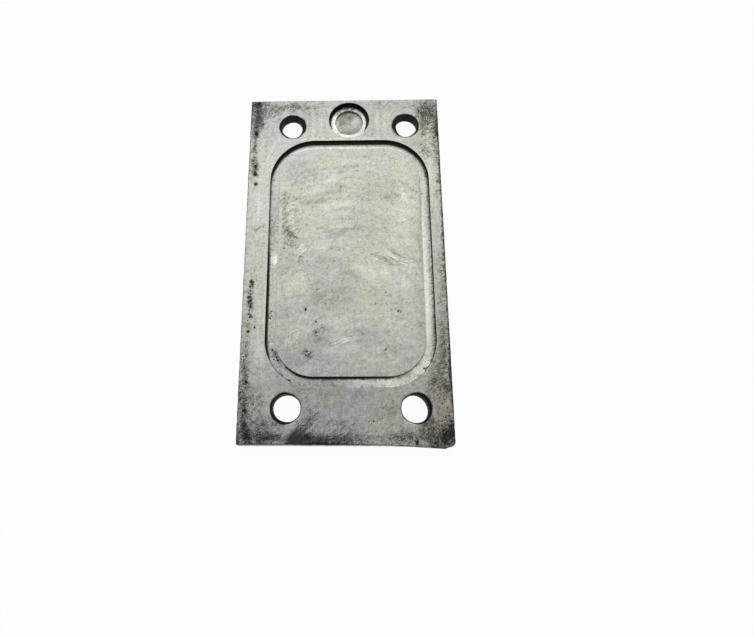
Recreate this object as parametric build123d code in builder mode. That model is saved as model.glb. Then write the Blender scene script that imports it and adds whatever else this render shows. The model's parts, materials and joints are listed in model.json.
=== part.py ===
"""Rectangular cover plate, machined in one piece from flat steel bar.

The machined face is up. It has a narrow seal groove round a full-height island, four bolt
holes, and one stepped blind recess between the two back holes. Sizes are in millimetres.
X runs across the plate, +Y points to the end with the recess, and +Z out of the machined
face. The origin is the centre of the underside.
"""

import os

from build123d import *

# Blank of flat bar, with its edges broken by a file
plate_width = 75.0
plate_length = 137.0
plate_thickness = 5.0
edge_break = 0.3
knocked_corner_radius = 1.4

# The machining is set out from its own centreline, to the right of the blank's middle
centreline_shift = 2.0

# Four coarse clearance holes for M8 bolts, each measured from the blank's edges to its centre
bolt_hole_diameter = 10.0
bolt_hole_mouth_chamfer = 0.5
bolt_hole_side_margin = 15.0
bolt_hole_front_margin = 12.7
bolt_hole_back_margin = 12.2

# Stepped blind recess, with a thin web between it and the back edge, and the same to the groove
recess_diameter = 16.0
recess_depth = 2.0
recess_ledge_width = 2.5
recess_step_depth = 0.8
recess_web = 1.3

# Seal groove round the island, with concentric corners and the cutter's small corner radius
groove_width = 3.8
groove_depth = 2.0
groove_corner_radius = 17.5
groove_floor_radius = 0.4
groove_side_margin = 6.7
groove_front_margin = 20.0

# Places that follow from the sizes above
bolt_spacing_x = plate_width - 2 * bolt_hole_side_margin
bolt_spacing_y = plate_length - bolt_hole_front_margin - bolt_hole_back_margin
bolt_pattern_y = (bolt_hole_front_margin - bolt_hole_back_margin) / 2
recess_y = plate_length / 2 - recess_web - recess_diameter / 2
groove_back_margin = 2 * recess_web + recess_diameter
groove_outer_x = plate_width - 2 * groove_side_margin
groove_outer_y = plate_length - groove_front_margin - groove_back_margin
groove_y = (groove_front_margin - groove_back_margin) / 2

with BuildPart() as cover_plate:
    with BuildSketch():
        Rectangle(plate_width, plate_length)
        front_right_corner = vertices().group_by(Axis.Y)[0].sort_by(Axis.X)[-1]
        fillet(front_right_corner, radius=knocked_corner_radius)
    extrude(amount=plate_thickness)
    chamfer(edges(), length=edge_break)

    with BuildSketch(Plane.XY.offset(plate_thickness)):
        with Locations((centreline_shift, groove_y)):
            RectangleRounded(groove_outer_x, groove_outer_y, groove_corner_radius)
        offset(amount=-groove_width, mode=Mode.SUBTRACT)
    extrude(amount=-groove_depth, mode=Mode.SUBTRACT)
    groove_floor = faces(Select.LAST).filter_by(Axis.Z).sort_by(Axis.Z)[0]
    fillet(groove_floor.edges(), radius=groove_floor_radius)

    with Locations((centreline_shift, recess_y, plate_thickness)):
        CounterBoreHole(
            radius=recess_diameter / 2 - recess_ledge_width,
            counter_bore_radius=recess_diameter / 2,
            counter_bore_depth=recess_depth,
            depth=recess_depth + recess_step_depth,
        )

    with Locations((centreline_shift, bolt_pattern_y, plate_thickness)):
        with GridLocations(bolt_spacing_x, bolt_spacing_y, 2, 2):
            Hole(radius=bolt_hole_diameter / 2)
    bolt_hole_mouths = edges(Select.LAST).filter_by(GeomType.CIRCLE)
    chamfer(bolt_hole_mouths, length=bolt_hole_mouth_chamfer)

cover_plate.part.label = "cover_plate"

os.makedirs("parts", exist_ok=True)
export_step(cover_plate.part, "parts/cover_plate.step")

print(f"cover plate {cover_plate.part.volume / 1000:.1f} cm3")
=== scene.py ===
"""Looks of the rectangular cover plate: one plate of ground mild steel, worn and stained with use.

The frame is the part's own: X across the plate, +Y towards the end with the stepped recess, +Z
out of the machined face, and the origin at the centre of the underside. The plate is reckoned in
millimetres, and becomes metres when its mesh is made.
"""

import json
import math

import bmesh
import bpy
import numpy as np
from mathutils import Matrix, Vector
from mathutils.geometry import delaunay_2d_cdt


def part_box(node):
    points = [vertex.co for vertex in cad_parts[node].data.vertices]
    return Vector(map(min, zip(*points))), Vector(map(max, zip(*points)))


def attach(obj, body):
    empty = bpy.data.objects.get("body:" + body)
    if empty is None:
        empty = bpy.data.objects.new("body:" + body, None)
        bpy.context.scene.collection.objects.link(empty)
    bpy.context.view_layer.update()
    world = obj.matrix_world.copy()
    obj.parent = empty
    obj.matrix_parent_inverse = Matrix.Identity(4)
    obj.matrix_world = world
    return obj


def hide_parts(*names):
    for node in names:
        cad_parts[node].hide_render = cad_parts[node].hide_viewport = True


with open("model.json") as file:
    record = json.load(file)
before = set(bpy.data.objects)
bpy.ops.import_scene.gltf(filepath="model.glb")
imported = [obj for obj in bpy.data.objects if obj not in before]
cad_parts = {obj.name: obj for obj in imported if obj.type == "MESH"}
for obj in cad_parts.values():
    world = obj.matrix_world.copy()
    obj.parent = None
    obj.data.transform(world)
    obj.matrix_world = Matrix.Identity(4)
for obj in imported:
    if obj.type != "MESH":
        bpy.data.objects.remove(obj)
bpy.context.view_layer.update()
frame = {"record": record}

MM = 0.001
MICROMETRE = 0.001 * MM
NODE = "cover_plate"
random = np.random.default_rng(7)

# ---------------------------------------------------------------------------------------------
# Sizes of the machining, in millimetres. The plate's box and its mounts come from the frame.

low, high = (np.array(corner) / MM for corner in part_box(NODE))
plate_size = (high - low)[:2]
top_z = high[2]
mounts = {mount["name"]: mount for mount in frame["record"]["mounts"]}

bolt_centre = np.array(mounts["bolt_holes"]["pos_m"][:2]) / MM
bolt_dims = mounts["bolt_holes"]["dims"]
bolt_spacing = np.array([bolt_dims["spacing_x_mm"], bolt_dims["spacing_y_mm"]])
bolt_radius = bolt_dims["hole_r_mm"]
bolt_mouth_chamfer = 0.5

recess_centre = np.array(mounts["stepped_recess"]["pos_m"][:2]) / MM
recess_radius = mounts["stepped_recess"]["dims"]["r_mm"]
recess_depth = mounts["stepped_recess"]["dims"]["length_mm"]
recess_ledge_width = 2.5
recess_step_depth = 0.8

groove_width = 3.8
groove_depth = 2.0
groove_corner_radius = 17.5
groove_floor_radius = 0.4
groove_side_margin = 6.7
groove_front_margin = 20.0
groove_back_margin = 18.6

groove_size = plate_size - (2 * groove_side_margin, groove_front_margin + groove_back_margin)
groove_centre = np.array([bolt_centre[0], (groove_front_margin - groove_back_margin) / 2])

edge_break = 0.3
corner_radii = (1.4, 0.6, 0.6, 0.6)
arris_wear = 0.1
groove_arris_width = 0.2
groove_arris_drop = 0.01

# Spacing of the mesh's points on the top, on the underside, along the outlines and along scratches
TOP_STEP = 0.5
UNDER_STEP = 2.0
OUTLINE_STEP = 0.4
GROOVE_STEP = 0.5
SCRATCH_STEP = 0.45
# How far from the walls two rows of points follow them, so that the painted shade and the dirt
# there have an even edge
SHADE_AND_DIRT_ROWS = (0.75, 1.1)

# How near a point is to what it lies on, and how far below the top face it still belongs to it
TOUCH = 0.01
FACE_DEPTH = 0.05

# ---------------------------------------------------------------------------------------------
# Outlines. Each is an array of points, anticlockwise, with the outward direction at each point,
# so that an outline moved in or out keeps its points in step and walls can be sewn between them.


def rounded_rectangle(centre, size, radii, step):
    """Outline of a rectangle whose corners, from the front right one, have the given radii."""
    points, normals = [], []
    signs = ((1, -1), (1, 1), (-1, 1), (-1, -1))
    arcs = []
    for k, (sign, radius) in enumerate(zip(signs, radii)):
        corner = centre + np.array(sign) * (np.array(size) / 2 - radius)
        count = max(4, math.ceil(radius * math.pi / 2 / step))
        angles = -math.pi / 2 + k * math.pi / 2 + np.linspace(0, math.pi / 2, count + 1)
        directions = np.stack([np.cos(angles), np.sin(angles)], axis=1)
        arcs.append((corner + radius * directions, directions))
    for k, (arc_points, directions) in enumerate(arcs):
        points.append(arc_points)
        normals.append(directions)
        start, end = arc_points[-1], arcs[(k + 1) % 4][0][0]
        count = max(1, math.ceil(np.linalg.norm(end - start) / step))
        shares = np.arange(1, count)[:, None] / count
        points.append(start + shares * (end - start))
        normals.append(np.repeat(directions[-1:], count - 1, axis=0))
    return np.concatenate(points), np.concatenate(normals)


def circle(centre, radius, step):
    """Outline of a circle."""
    count = math.ceil(2 * math.pi * radius / step)
    angles = np.arange(count) * 2 * math.pi / count
    normals = np.stack([np.cos(angles), np.sin(angles)], axis=1)
    return centre + radius * normals, normals


def moved(outline, distance):
    """The outline's points moved outwards, or inwards if the distance is negative."""
    return outline[0] + distance * outline[1]


def inside(outline_points, places):
    """Which places lie inside a closed outline."""
    x, y = places[:, :1], places[:, 1:]
    x0, y0 = outline_points[:, 0], outline_points[:, 1]
    x1, y1 = np.roll(x0, -1), np.roll(y0, -1)
    spans = (y0 > y) != (y1 > y)
    rise = np.where(y1 == y0, 1.0, y1 - y0)
    crossings = spans & (x < (x1 - x0) * (y - y0) / rise + x0)
    return crossings.sum(axis=1) % 2 == 1


plate_outline = rounded_rectangle(np.zeros(2), plate_size, corner_radii, OUTLINE_STEP)
groove_outline, island_outline = (
    rounded_rectangle(
        groove_centre, groove_size - 2 * inset, [groove_corner_radius - inset] * 4, GROOVE_STEP
    )
    for inset in (0, groove_width)
)
recess_outline = circle(recess_centre, recess_radius, OUTLINE_STEP)
relief_outline = circle(recess_centre, recess_radius - recess_ledge_width, OUTLINE_STEP)
bolt_outlines = {
    f"{row}_{side}": circle(bolt_centre + bolt_spacing / 2 * (sx, sy), bolt_radius, OUTLINE_STEP)
    for row, sy in (("front", -1), ("back", 1))
    for side, sx in (("left", -1), ("right", 1))
}

# ---------------------------------------------------------------------------------------------
# Marks of wear, and painted light and shade, in millimetres and degrees. A soft spot is its place
# in X and Y, its half-extents, its strength, and its turn where it has one.

# Black corrosion scabs, and painted shade along the right edge
SCABS_AND_EDGE_SHADE = (
    (-34.8, 67, 2.6, 1.5, 0.85, 6), (-35, 61, 1.2, 3.2, 0.38), (-34.9, 53.4, 1.1, 2.3, 0.64),
    (-35.6, 48.3, 0.9, 2.6, 0.38), (-35.2, 41.4, 1.7, 2, 0.43), (-34.9, 38, 1.6, 2, 0.47),
    (-34.7, 35.2, 1.2, 1.8, 0.52, 10), (-34.6, 30.8, 0.8, 1, 0.7), (-34.4, -9.8, 0.8, 1.5, 0.8),
    (-34.6, -16.5, 1, 2.2, 0.75), (-34.2, -22.5, 0.9, 1.6, 0.6), (-36.7, -52, 0.6, 3, 0.55),
    (-34.8, -46.6, 0.7, 0.9, 0.75), (-34.8, -56.6, 1.1, 1.2, 0.62),
    (-34.9, -61.6, 1.2, 2.2, 0.55, 15), (-33.6, -65.4, 1.3, 2.6, 0.75, -10),
    (-28.5, -66.4, 5.5, 1.2, 0.44, 4), (-37.2, -66, 0.8, 3, 0.8), (-9.5, -68, 6, 0.8, 0.8, -2),
    (-33, -68.3, 4.5, 0.4, 0.5), (36.4, -67.6, 2, 1.6, 0.45), (2, -68.2, 8, 0.6, 0.5),
    (-13, -65.3, 2.2, 1.6, 0.55, 20), (-21, -68.3, 14, 0.4, 0.42), (36.1, -61, 0.8, 4.5, 0.65, 4),
    (34.4, -65.4, 2.8, 2.4, 0.9, 30), (30.2, -67.2, 2, 1.2, 0.6, 10),
    # The long thin spots at X 36.9 and 37.1 are painted shade along the right edge
    (24.4, -67.4, 0.8, 0.8, 0.75), (36.9, -45, 0.55, 12, 0.75), (37.1, 0, 0.45, 60, 0.62),
    (36.9, 53.4, 0.5, 2.6, 0.7), (35.8, 31.3, 0.7, 0.9, 0.55), (-37.4, 64, 0.5, 5, 0.6),
    (-18.6, 8.5, 1.1, 0.4, 0.55, -40), (-19.7, 5.2, 1.3, 0.3, 0.4),
)

# Dark greasy film
GRIME = (
    (-35.2, 61, 3.4, 8, 0.43), (-34, 66.6, 3, 2.4, 0.12), (-29.5, 64, 6, 4.8, 0.37),
    (-33.4, 60.4, 1.4, 2.4, 0.2), (-23, 65.6, 6, 2.2, 0.16), (-17, 64.8, 9, 2.6, 0.26),
    (-18.8, 66.8, 2, 1.4, 0.2), (-33.8, 55.5, 1.9, 4, 0.24), (-10, 66.6, 3, 1.6, 0.24),
    (14, 66.4, 5, 1.8, 0.24), (-35.8, 50, 1.6, 10, 0.3), (-35, 37.5, 2, 6.5, 0.26),
    (-30.2, 43.4, 1.5, 2.6, 0.2), (-33.2, 12, 1.8, 1.1, 0.3, 25), (-33.8, 9, 2.4, 3.2, 0.14),
    (-31.4, -1.5, 1.3, 5, 0.14), (-31.2, 13.4, 1.5, 0.9, 0.22, 35), (-34.6, -16, 1.6, 10, 0.34),
    (-35.4, -40, 1.7, 12, 0.5), (-35.4, -57, 2.4, 8, 0.4), (-32, -54, 4, 6, 0.26),
    (-35.2, -63, 2, 3.4, 0.3), (-31, -65.4, 6.5, 3.4, 0.56, 6), (-23.5, -66.2, 6, 2.4, 0.52),
    (-28.2, -60.4, 4.4, 2.4, 0.38), (-29.5, -52.4, 2.6, 2.6, 0.2),
    (-22.5, -61, 3.2, 1.5, 0.36, -12), (-20.8, -64.4, 4.5, 0.9, -0.25, 59),
    (-17, -65, 5.4, 1.7, 0.52, 59), (-14.8, -67, 4.4, 2, 0.5, 10),
    (-13.6, -62.6, 3.4, 2.2, 0.3, 45), (-9.8, -62.4, 3, 1.8, 0.12, 40),
    (-8, -66.8, 8, 2.1, 0.7, -2), (4, -66.6, 9, 2, 0.37), (-12, -57.6, 3, 3.4, 0.24),
    (-1, -62.4, 7.5, 3.4, 0.34, -5), (9.5, -60.8, 2.4, 1, 0.2, 10), (16, -55.5, 3, 4, 0.3),
    (18, -65.2, 7, 2.8, 0.26, 8), (23, -66, 7, 2.2, 0.38, 4), (30, -66.4, 4, 2.6, 0.42),
    (30.2, -61.5, 3.2, 4, 0.34, 12), (29.2, -54.5, 1.6, 6, 0.32), (27, -61.6, 2.8, 2.4, 0.36, 20),
    (35.2, -63.5, 3, 5, 0.52), (32.6, -44, 4, 9, 0.34), (30.2, -47.4, 1.9, 3.4, 0.24),
    (35.6, -49.5, 1.4, 3, 0.4), (35.2, -32, 2, 12, 0.4), (35.8, -10, 1.4, 14, 0.32),
    (36.8, 10, 0.7, 14, 0.3), (32.2, 61.4, 4.6, 4.4, 0.46, -20), (34.4, 66, 4.5, 3, 0.32),
    (27, 66, 6, 2, 0.14), (18.6, 63.6, 3, 2.4, 0.12), (36.6, 58, 1.2, 6, 0.24),
    (-0.8, 60.2, 1.1, 2.4, 0.42), (-2.9, 64.4, 1.2, 0.8, 0.34, 40), (36.4, 52, 1.6, 8, 0.35),
    (32.6, 55.5, 3.2, 6, 0.36, 8), (32, 45, 2.6, 5, 0.42, 20), (36.8, 36, 0.8, 9, 0.35),
    (-20.8, 10.8, 3.6, 2.4, 0.42, -45), (-19.8, 7.2, 3, 2.2, 0.22, -30),
    (-21, 5.3, 1.9, 0.6, 0.36), (-16.8, 0.5, 1.6, 0.6, 0.38, -20),
    (-16.4, -0.9, 1.2, 0.4, 0.3, -25), (-23.4, 20, 1.6, 7, 0.22),
    (-18.5, 24.5, 5.5, 2.6, 0.24, 10), (-19, 17, 5, 4, 0.22), (-9, 23.5, 5, 1.6, 0.2, 15),
    (-9.5, 12.1, 2.2, 0.7, 0.22), (-1.4, 28.6, 0.9, 1.8, 0.28), (17.5, 25, 2, 2.6, 0.2),
    (16.4, -2, 2.4, 1.2, 0.22, -35), (-13.8, -36.2, 2.4, 2, 0.42, 10),
    (-12.6, -37.8, 1.6, 1.2, 0.32), (-10, -28.7, 1.6, 1.7, 0.4), (-10.6, -25.4, 1.4, 1.2, 0.3),
    (-7.2, -27.4, 1.2, 0.9, 0.36), (19.7, -20.9, 1.5, 0.9, 0.46, -25),
    (18.8, -17.9, 1.5, 0.6, 0.42, 10), (14.5, -35.3, 0.8, 0.7, 0.5), (17, -35.1, 2.2, 1.2, 0.34),
    (-24.3, -38, 0.9, 3, 0.4, 20), (-26, -35, 1.4, 1.8, 0.35, 30),
)

# Olive-brown rust tint
RUST = (
    (34.5, 63, 3.6, 5, 0.45), (31, 54, 2.6, 6, 0.45, 20), (34, -58, 3, 4, 0.4),
    (35.6, 44, 1.6, 9, 0.4), (35.6, 26.5, 1.3, 3, 0.6), (33.6, -52, 3.2, 7, 0.5),
    (10.5, -59.5, 4, 2, 0.25, 10), (16.5, -55.5, 3.2, 3.6, 0.35), (-35.3, 46.4, 0.9, 1.6, 0.8),
    (-35, 38, 2, 6, 0.45), (-33.5, -48.6, 1.8, 1.4, 0.55), (-30.5, -57, 3.6, 1.6, 0.35, -20),
    (20, -64.5, 9, 3, 0.35), (-34.6, -26, 1, 1.6, 0.3), (24.6, -45.5, 5, 3, 0.3, 30),
)

# Pale burnished patches, and duller ones where the strength is below zero, and painted highlights
# along the groove's mouth
BURNISH_AND_PAINTED_HIGHLIGHTS = (
    (-32, 30, 3.2, 24, 0.3), (-31.5, -36, 2.2, 10, 0.42), (-27, -58.8, 4.5, 1.6, 0.3, -25),
    (-19.3, -64.8, 1.3, 3.4, 0.25, 12), (-11.5, 12, 4.5, 4.5, 0.45), (23, 39, 3, 8, 0.4, 20),
    (22, -14, 6, 12, 0.25), (-17, -5, 3.5, 3.5, -0.3), (-23, 5, 2.5, 6, -0.3),
    (10, 7, 5, 4, -0.25), (-14, -55, 3, 6, -0.5), (-20, -48.6, 6, 2.2, -0.6),
    (-20, -41, 6, 3, -0.3, -20), (10, 15, 4.5, 4, 0.3), (3, 26, 6, 3, 0.25, 20),
    (18, -25, 4.5, 5, 0.5), (-22.5, -17, 3, 3.5, 0.4), (-21, 33, 3.5, 6, -0.3),
    (14, 39.5, 5, 4, -0.2), (0, -16, 9, 5, -0.2), (-6.5, 15, 4.5, 1.8, 0.3, 12),
    (24.5, 21.5, 4, 2.5, 0.3), (24, -11, 4.5, 5, 0.6), (17.5, -36, 7, 4.5, 0.4),
    # The thin spots at (-29.3, -24) and (2, 50.4) are painted highlights along the groove's mouth
    (25, -31, 2.5, 6, 0.4), (22, 65.8, 14, 2, -0.3), (-29.3, -24, 0.4, 20, 1),
    (2, 50.4, 22, 0.5, 0.9), (-29.6, -38.5, 1, 5, 0.6, 10), (5, -38, 22, 6, 0.36),
    (26, -32, 3, 6, 0.3), (-13, 62.5, 5, 4, -0.35), (-4, 30, 9, 1.8, -0.2, 12),
    (12, -60, 5, 1.6, -0.4), (-17, -46.5, 4, 2, -0.3), (22.5, 22, 4.5, 7.5, 0.3),
    (23, 9, 5, 6, 0.3, 20), (9, -4.5, 6.5, 4.5, 0.34), (23, -4, 4, 2.4, 0.5, -30),
    (-18.5, -28.5, 4.5, 5.5, 0.4), (-16, 3, 2.6, 2.2, 0.2, 40), (1, -26, 5, 4.5, 0.3),
    (-2, -35, 5.5, 3.4, 0.3, 20), (-18, -9, 4.5, 5.5, 0.18), (11, 22, 2.5, 2, 0.25),
    (23.5, 28.3, 1.6, 2.2, 0.5, 30), (14, -24, 14, 13, 0.4), (23, 6, 7, 12, 0.2),
    (32.5, 40, 3.2, 16, 1.1), (11, -60.3, 3.4, 1.6, 0.8, 10), (-18, 38, 6.5, 5, -0.3, 20),
    (13, 16, 8, 2.4, -0.25), (8, 24.5, 11, 2.2, -0.36, -4), (18.5, 26, 2.6, 3, -0.3),
    (-8, -1.5, 9, 3.6, -0.34, 5), (-9.5, -14, 5.5, 7.5, -0.34), (5.5, 19.5, 3.5, 3.5, -0.3),
    (-23, -6, 2.5, 5, -0.35), (-9, -18.5, 4.5, 3, -0.25), (6.5, -25, 3, 3, -0.25),
    (-18.5, -38.5, 4.5, 3, -0.6, -30), (-6, -49.5, 22, 2.8, -0.9), (33, -44, 3, 7, -0.8),
    (1, -60, 14, 4, -0.5), (2, -8, 4.5, 3, -0.34, -30), (5.5, -29.5, 3, 2, -0.36),
    (-9.5, -33.5, 2.4, 4.5, -0.5), (26.5, -20, 1.8, 16, -0.15), (20, -10, 5, 5, 0.16),
    (12, -33, 5, 4, -0.3, 20), (35, -30, 2.2, 18, -0.5), (-4, -54, 14, 5, -0.45),
    (-27, -44, 3.5, 2, -0.25, -45), (-31.5, 6, 3, 3, -0.2),
)

# Lighter and darker spots on the floors of the groove and the recess: painted highlights, and
# painted shade at the foot of the walls and at the back of the recess
FLOOR_LIGHT_AND_SHADE = (
    (-26, 0.2, 1.4, 1.9, 2.6), (29.6, 4, 1.8, 16, 2.1), (29.8, -24, 1.8, 17, 3.9),
    (27, -41.6, 4.8, 5.2, 4.5, 45), (16, -46.6, 9, 2.2, 3.6), (31.9, 36.6, 0.7, 6.5, -4, 12),
    (4, -46.6, 4.5, 2.2, 1.8), (-8, -46.6, 3, 2.2, -0.5), (-22, -43, 3.4, 3.4, 0.2, -45),
    (32.5, 26, 0.6, 9, -1.8), (-26.8, 16, 1.6, 12, -1.1), (2, 46.6, 24, 1.8, 2.3),
    (-3, 59, 0.9, 4, 2.2), (0.5, 52.8, 4.5, 1.1, 1), (-4.2, 57, 0.9, 3.5, 1.4),
    (8.6, 58, 1, 3.6, 1), (4.5, 60.2, 1.7, 2.4, 3.2, -20), (1.5, 57.6, 2.4, 1.2, 0.8),
    (2.4, 62, 1.1, 1, -2.6), (3, 55.6, 4, 1.4, -1), (-0.8, 60.5, 1.6, 2.2, -0.8),
    (2, 63, 4, 1, -0.9), (2, 55, 3.4, 0.9, -1), (-1.6, 60, 1.2, 2.4, -0.5),
)

# Cream cast above zero, violet-grey cast below it
TINT = (
    (-18, -10, 5, 6.5, 1), (-2, 22, 10, 7, 0.2, 10), (20, 30, 8, 16, 0.55), (12, -6, 8, 7, 0.8),
    (9, -19, 6, 7, 0.6), (-8, 42, 6, 6, 0.4), (31, 58, 5, 9, 0.4), (-17.5, 39, 7, 6.5, -0.9),
    (2.5, 12.5, 6, 2.6, -1, 10), (-4, 7, 3.6, 2.6, -0.9, 25), (-8, -2, 11, 5, -0.45),
    (-30, 51, 5, 6, -1.2), (2, 63, 24, 5.5, -0.7), (14, 53, 6, 3, -0.8), (-20, 0, 5, 6, -0.5),
    (-11, -16, 4, 7, -0.7), (-31, -44, 7, 7, -0.9), (-21, -35, 6, 6, -0.6), (-7, -40, 6, 4, -0.9),
    (-30, -60, 5, 5, -0.8), (-24, 14, 5, 8, 0.5), (-16, 29, 8, 4, 0.4), (17, 3, 8, 7, 0.8),
    (13, 39, 6, 5, 0.4), (34, 24, 4, 12, 0.6), (-20.5, -20.5, 6, 5, -0.9),
    (-10, -33, 3.4, 6, -0.7), (22, -12, 6.5, 9, -0.6), (5.5, -29, 3, 2.4, -0.8),
    (-32, 22, 4, 16, -0.7), (-26, 62, 12, 7, -0.5), (0, -57, 22, 9, -0.7), (-14, -63, 8, 5, -1.8),
    (0, -52, 12, 5, -0.5), (2, -66, 8, 3, -0.6), (-10, 49, 16, 4, -0.7), (20, 48, 12, 4, -0.6),
    (-24, 62, 12, 7, -0.4), (5, 65, 8, 4, -0.7), (-8, 15, 6, 5, -0.5), (-22, 20, 6, 10, 0.4),
    (37, -15, 1.6, 16, 1.2), (36.5, 53, 2, 5, 0.9), (25, -60, 5, 4, 1), (0, -38, 26, 10, -0.35),
    (-15, -8, 14, 8, -0.25), (22, 15, 8, 14, 0.3), (-7, 27, 6, 6, 0.4), (-6.5, 3, 2.5, 5, 0.5),
    (37, -9, 1.4, 5, 0.8), (36.8, 54, 1.6, 4, 0.8), (-37.2, 15, 1.4, 22, -1),
    (-37.2, -26, 1.2, 6, -1), (5, 62, 9, 3.5, -0.7, -30), (-1, -12, 3, 7, -0.7, -20),
    (-8, -42, 7, 3, -0.5, -20), (-17, -65, 9, 3, -0.9), (17, 62, 4, 4.5, 0.9),
    (37, 32, 1.4, 5, 1.2), (-2.5, 13.5, 5, 3, 0.8), (-32.5, 15, 2, 4, 0.7),
    (-21.5, 33, 2.5, 4, 0.6), (-2, 57, 3, 2, 0.9), (36, -45, 3, 3, 0.8), (26, -19, 3.5, 5, 0.5),
)

# Where hand rubbing has left marks in arcs
SWIRL = (
    (-4, 26, 20, 12, 1, 12), (-2, 10, 16, 8, 0.8, 15), (18, -2, 9, 6, 0.6),
    (-13, -60.5, 6, 4, 0.6, 30),
)

# Soft streaks: start and end in X and Y, half-width, and strength, which is pale above zero
STREAKS = (
    (-14.4, 25.6, -4.7, 32.8, 1.4, 0.42), (-4.7, 32.8, 7.7, 35.7, 1.1, 0.36),
    (-6.3, 22, 1.4, 22.2, 1.6, 0.5), (-18.3, 2, -14.8, 6, 0.35, 0.6),
    (-17.8, 0.8, -14.2, 4, 0.35, 0.5), (21.9, 27.8, 23, 24, 1.2, 0.6),
    (22, 18, 27, 17.4, 1.5, 0.4), (22, 1, 27, -3.6, 0.7, 0.9), (17.5, 0.6, 21, -1.6, 0.5, 0.8),
    (12.2, -0.6, 16, -2.6, 0.4, 0.7), (5.6, -3.5, 15.5, -7, 1.8, 0.4),
    (-4.4, -22.6, -2, -28.3, 1.6, 0.5), (-5.2, -31.7, 0.7, -30.5, 0.35, 1.6),
    (-3.5, -32.7, 5.3, -30.7, 0.3, 1.3), (-14.3, 23.9, -1.6, 28.9, 1.6, -0.55),
    (-2.8, 32.1, 3.8, 33.8, 0.8, -0.6), (-1.4, 29.7, -1.5, 27.4, 0.5, -0.7),
    (-10.8, 13.8, -0.9, 16, 0.9, -0.4), (-0.9, 16, 6.7, 16.9, 0.6, -0.4),
    (-5.8, 8.8, -0.1, 11.2, 0.9, -0.75), (-0.1, 11.2, 5.2, 12.4, 1.1, -0.6),
    (5.9, 12, 16.1, 11.1, 1, -0.55), (8.8, 31, 20, 30.6, 1.3, -0.3),
    (8.8, 26.4, 19.8, 26, 1.8, -0.45), (-4, 37.6, 5.4, 38.4, 0.8, -0.5),
    (-16.5, 37.7, -11, 35, 1.6, -0.5), (-21.7, 24.8, -19.1, 31.6, 0.9, -0.5),
    (-10.4, 12.1, -6.2, 12.1, 0.4, -0.6), (-22.6, 27.4, -22.4, 13, 0.8, -0.7),
    (29, 35.5, 28.2, -1.9, 0.5, -0.6), (28, -13, 27.5, -27, 1, -0.5),
    (-6, -33.6, 6.1, -31.8, 0.4, -1), (-12.4, -31.3, -5.6, -31.9, 1.8, -0.6),
    (7, -31.8, 8.6, -31.2, 1.4, -0.4), (5.2, -28.3, 5.5, -28.2, 1.2, -0.7),
    (1.7, -5.8, 5.6, -8.6, 1.2, -0.5), (-8.7, -14.6, 2.5, -17, 2.6, -0.45),
    (-22.2, -15.3, -22.2, -24.3, 1.8, -0.4), (10, -28.8, 12.4, -35.7, 0.4, -0.4),
    (9.6, 1.6, 14.8, 0.1, 0.4, -0.9), (14.8, 0.1, 16.5, -1.8, 0.5, -0.8),
    (17.5, 2, 25.7, -2.3, 0.35, -0.8), (12.2, -1.5, 21.7, -3.9, 0.35, -0.9),
    (18.7, -1.3, 23, -4.1, 0.35, -1), (21, 2, 27, -2.3, 0.35, -0.7),
    (6, -4, 11.3, -4.7, 0.3, -0.6), (-20.8, 1.8, -15.4, 0.3, 0.4, -0.8),
    (-17.6, -1, -15.8, -2, 0.4, -0.7), (-21.4, -67.8, -16.8, -60.6, 0.5, 0.9),
    (-20, -68, -15.6, -61.2, 0.4, -1.8), (-17.6, -67.4, -11.6, -61.2, 0.35, -1.8),
    (-15.6, -67.4, -10, -61.8, 0.3, -1.4), (-13.8, 66, -13.6, 52, 0.4, -0.6),
    (-12.4, 64, -12.2, 51, 0.35, 0.6), (-10.8, 63, -10.7, 52.5, 0.35, -0.6),
    (-9.2, 62, -9.1, 51.5, 0.3, 0.5), (-7.6, 57, -7.6, 51, 0.3, -0.6),
    (11.2, 62, 11.3, 51, 0.35, -0.6), (13, 66, 13.2, 51, 0.4, 0.5),
    (14.8, 64, 14.9, 50.8, 0.35, -0.6), (16.6, 60, 16.6, 50.6, 0.3, 0.5),
    (-26, 52, -31, 40, 0.4, 0.5), (-30.6, 56, -31.2, 34, 0.4, -0.4), (-32.8, 34, -33, 8, 0.4, 0.5),
    (-31.2, -14, -31.4, -40, 0.4, 0.5), (-32.8, -20, -33, -44, 0.35, -0.5),
    (-4.6, -52, -4.8, -60, 0.35, 0.7), (-7, -51, -7.2, -61, 0.35, -0.6),
    (-1.6, -51, -1.6, -60, 0.35, -0.6), (1.4, -52, 1.3, -62, 0.35, 0.6),
    (4, -50.6, 3.8, -59, 0.35, -0.5), (6.8, -52, 6.6, -60, 0.35, 0.5),
    (-14, -66.4, -9, -62.2, 0.3, -1.2), (-12.8, -60, -9.6, -57.6, 0.4, -0.9),
    (-15.6, -66, -10.4, -60.8, 0.3, 0.8),
)

# Painted shade and dirt at the foot of a wall: mark, wall, reach, and strength at the right, back,
# left and front
FOOT_SHADE_AND_DIRT = (
    ("oil_and_painted_shade", groove_outline, 0.8, 0.3, 1.6, 1.1, 0.1),
    ("grime_and_painted_shade", groove_outline, 1.4, 0.32, 0, 0.25, 0),
    ("grime_and_painted_shade", groove_outline, 0.5, 0.1, 0, 0, 0.45),
    ("oil_and_painted_shade", island_outline, 0.7, 0, 0, 0, 1.1),
    ("grime_and_painted_shade", island_outline, 1.5, 0, 0, 0, 0.4),
    ("oil_and_painted_shade", recess_outline, 0.8, 1, 0.9, 1.2, 0.1),
    ("oil_and_painted_shade", recess_outline, 1.2, 1.2, 0, 0, 0),
    ("grime_and_painted_shade", recess_outline, 1.6, 0, 0.9, 0.3, 0),
    ("oil_and_painted_shade", relief_outline, 0.5, 0.12, 0.45, 0, 0),
    ("grime_and_painted_shade", relief_outline, 1, 0.1, 0.25, 0.22, 0.1),
)

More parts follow.
